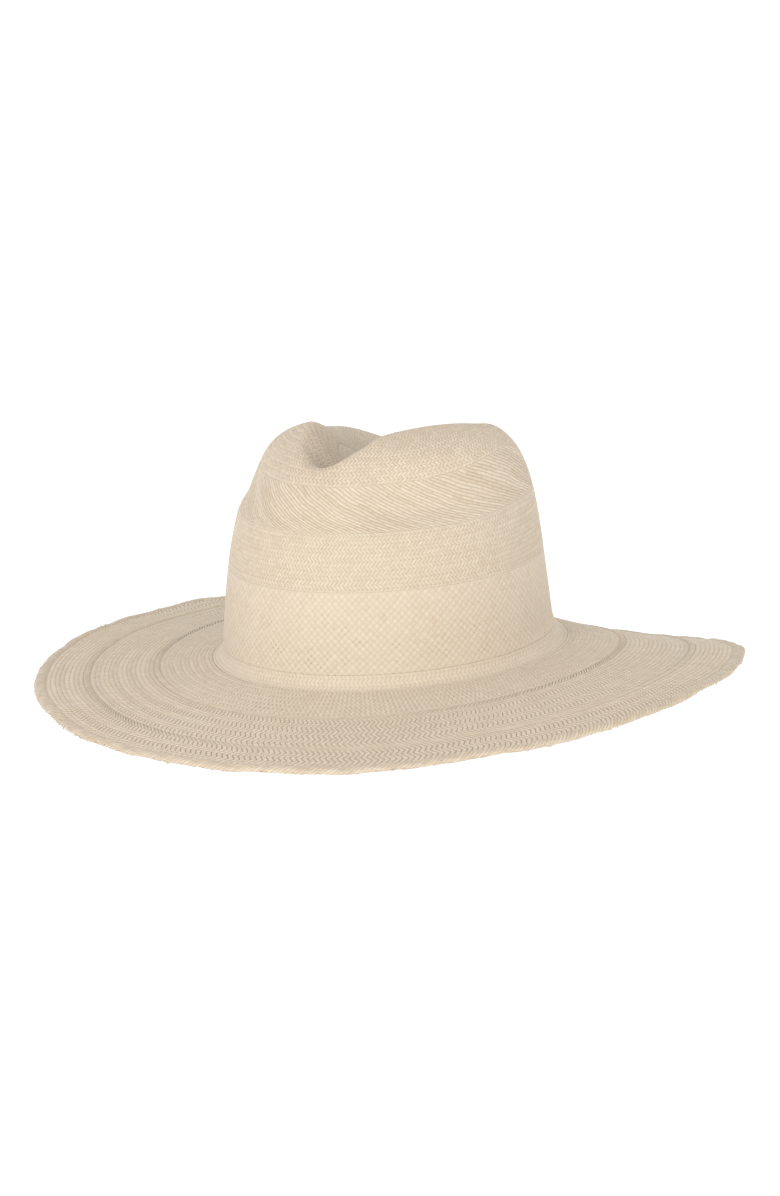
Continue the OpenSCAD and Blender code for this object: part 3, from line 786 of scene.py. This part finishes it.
finish_piece(leather_band(), ["sweatband"], "hat", LEATHER)
finish_piece(reed(), ["sweatband_reed"], "hat", TAPE)
for node, name, body, slot_name, mat, bevel in [
    ("sweatband_stitches", "sweatband_thread", "hat", "cotton_thread", COTTON, 0.12),
    ("seam_tape", "seam_tape_strip", "hat", "sweatband_leather", LEATHER, 0.14),
    ("seam_stitches", "seam_thread", "hat", "cotton_thread", COTTON, 0.12),
    ("bow_loops", "bow_loops_ribbon", "hat", "bow_ribbon", RIBBON, 0.12),
    ("bow_knot", "bow_knot_ribbon", "hat", "bow_ribbon", RIBBON, 0.5),
    ("care_label", "care_label_ribbon", "care_label", "label_ribbon", LABEL, 0.15),
    ("care_label_stitches", "care_label_thread", "hat", "dark_thread", DARK, 0.12),
    ("size_tab", "size_tab_ribbon", "size_tab", "label_ribbon", LABEL, 0.15),
    ("size_tab_stitches", "size_tab_thread", "hat", "dark_thread", DARK, 0.12),
]:
    finish_piece(copy_of(node, name, bevel), [node], body, mat)

# ---------------------------------------------------------------- studio
low, high = Vector(cad_low), Vector(cad_high)
centre = (low + high) / 2


FLOOR_GAP = 0.55  # metres of air under the hat, which is held by its head opening


def pale_floor():
    g = Graph("floor")
    shade = g.noise(g.coords(), 2.0, 2.0)
    g.finish(g.mix(shade, rgb(0.95, 0.95, 0.95), rgb(0.97, 0.97, 0.97)), 0.9, 0.0, 0.1)
    g.bsdf.inputs["Emission Color"].default_value = rgb(1, 1, 1)
    g.bsdf.inputs["Emission Strength"].default_value = 0.25
    bpy.ops.mesh.primitive_plane_add(size=30, location=(centre.x, centre.y, low.z - FLOOR_GAP))
    floor = bpy.context.object
    floor.name = "floor"
    floor.data.materials.append(g.mat)
    return floor


pale_floor()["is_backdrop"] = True


def soft_light(name, where, size, power, colour=(1, 1, 1)):
    data = bpy.data.lights.new(name, "AREA")
    data.shape, data.size, data.energy, data.color = "DISK", size, power, colour
    lamp = bpy.data.objects.new(name, data)
    bpy.context.collection.objects.link(lamp)
    lamp.location = where
    lamp.rotation_euler = (centre - Vector(where)).to_track_quat("-Z", "Y").to_euler()


soft_light("key", (0.25, -2.3, 0.8), 0.9, 27, (1.0, 0.99, 0.975))
soft_light("fill", (2.3, 0.1, 0.5), 1.6, 10)
world = bpy.data.worlds.new("studio")
bpy.context.scene.world = world
world.use_nodes = True
# white all round, a little less bright overhead
sky = world.node_tree
toward = sky.nodes.new("ShaderNodeTexCoord")
parts = sky.nodes.new("ShaderNodeSeparateXYZ")
overhead = sky.nodes.new("ShaderNodeMapRange")
sky.links.new(toward.outputs["Generated"], parts.inputs[0])
sky.links.new(parts.outputs[2], overhead.inputs[0])
for place, value in zip((1, 2, 3, 4), (0.25, 0.9, 1.02, 0.8)):
    overhead.inputs[place].default_value = value
sky.links.new(overhead.outputs[0], sky.nodes["Background"].inputs[1])
sky.nodes["Background"].inputs[0].default_value = (1, 1, 1, 1)
bpy.context.scene.view_settings.view_transform = "Standard"
bpy.context.scene.view_settings.look = "None"

# Camera: from the front left of the hat, a little above
AZ, EL, DISTANCE, ROLL = math.radians(31), math.radians(13.5), 2.2, math.radians(-1.5)
cam_data = bpy.data.cameras.new("camera")
camera = bpy.data.objects.new("camera", cam_data)
bpy.context.collection.objects.link(camera)
camera.location = Vector((math.sin(AZ) * math.cos(EL), -math.cos(AZ) * math.cos(EL), math.sin(EL))) * DISTANCE
aim = (-camera.location).to_track_quat("-Z", "Y").to_matrix().to_4x4()
camera.matrix_world = Matrix.Translation(camera.location) @ aim @ Matrix.Rotation(ROLL, 4, "Z")
cam_data.sensor_width = 36.0
cam_data.lens = 124.4
cam_data.shift_x, cam_data.shift_y = -0.00125, 0.0364
cam_data.clip_end = 100
bpy.context.scene.camera = camera
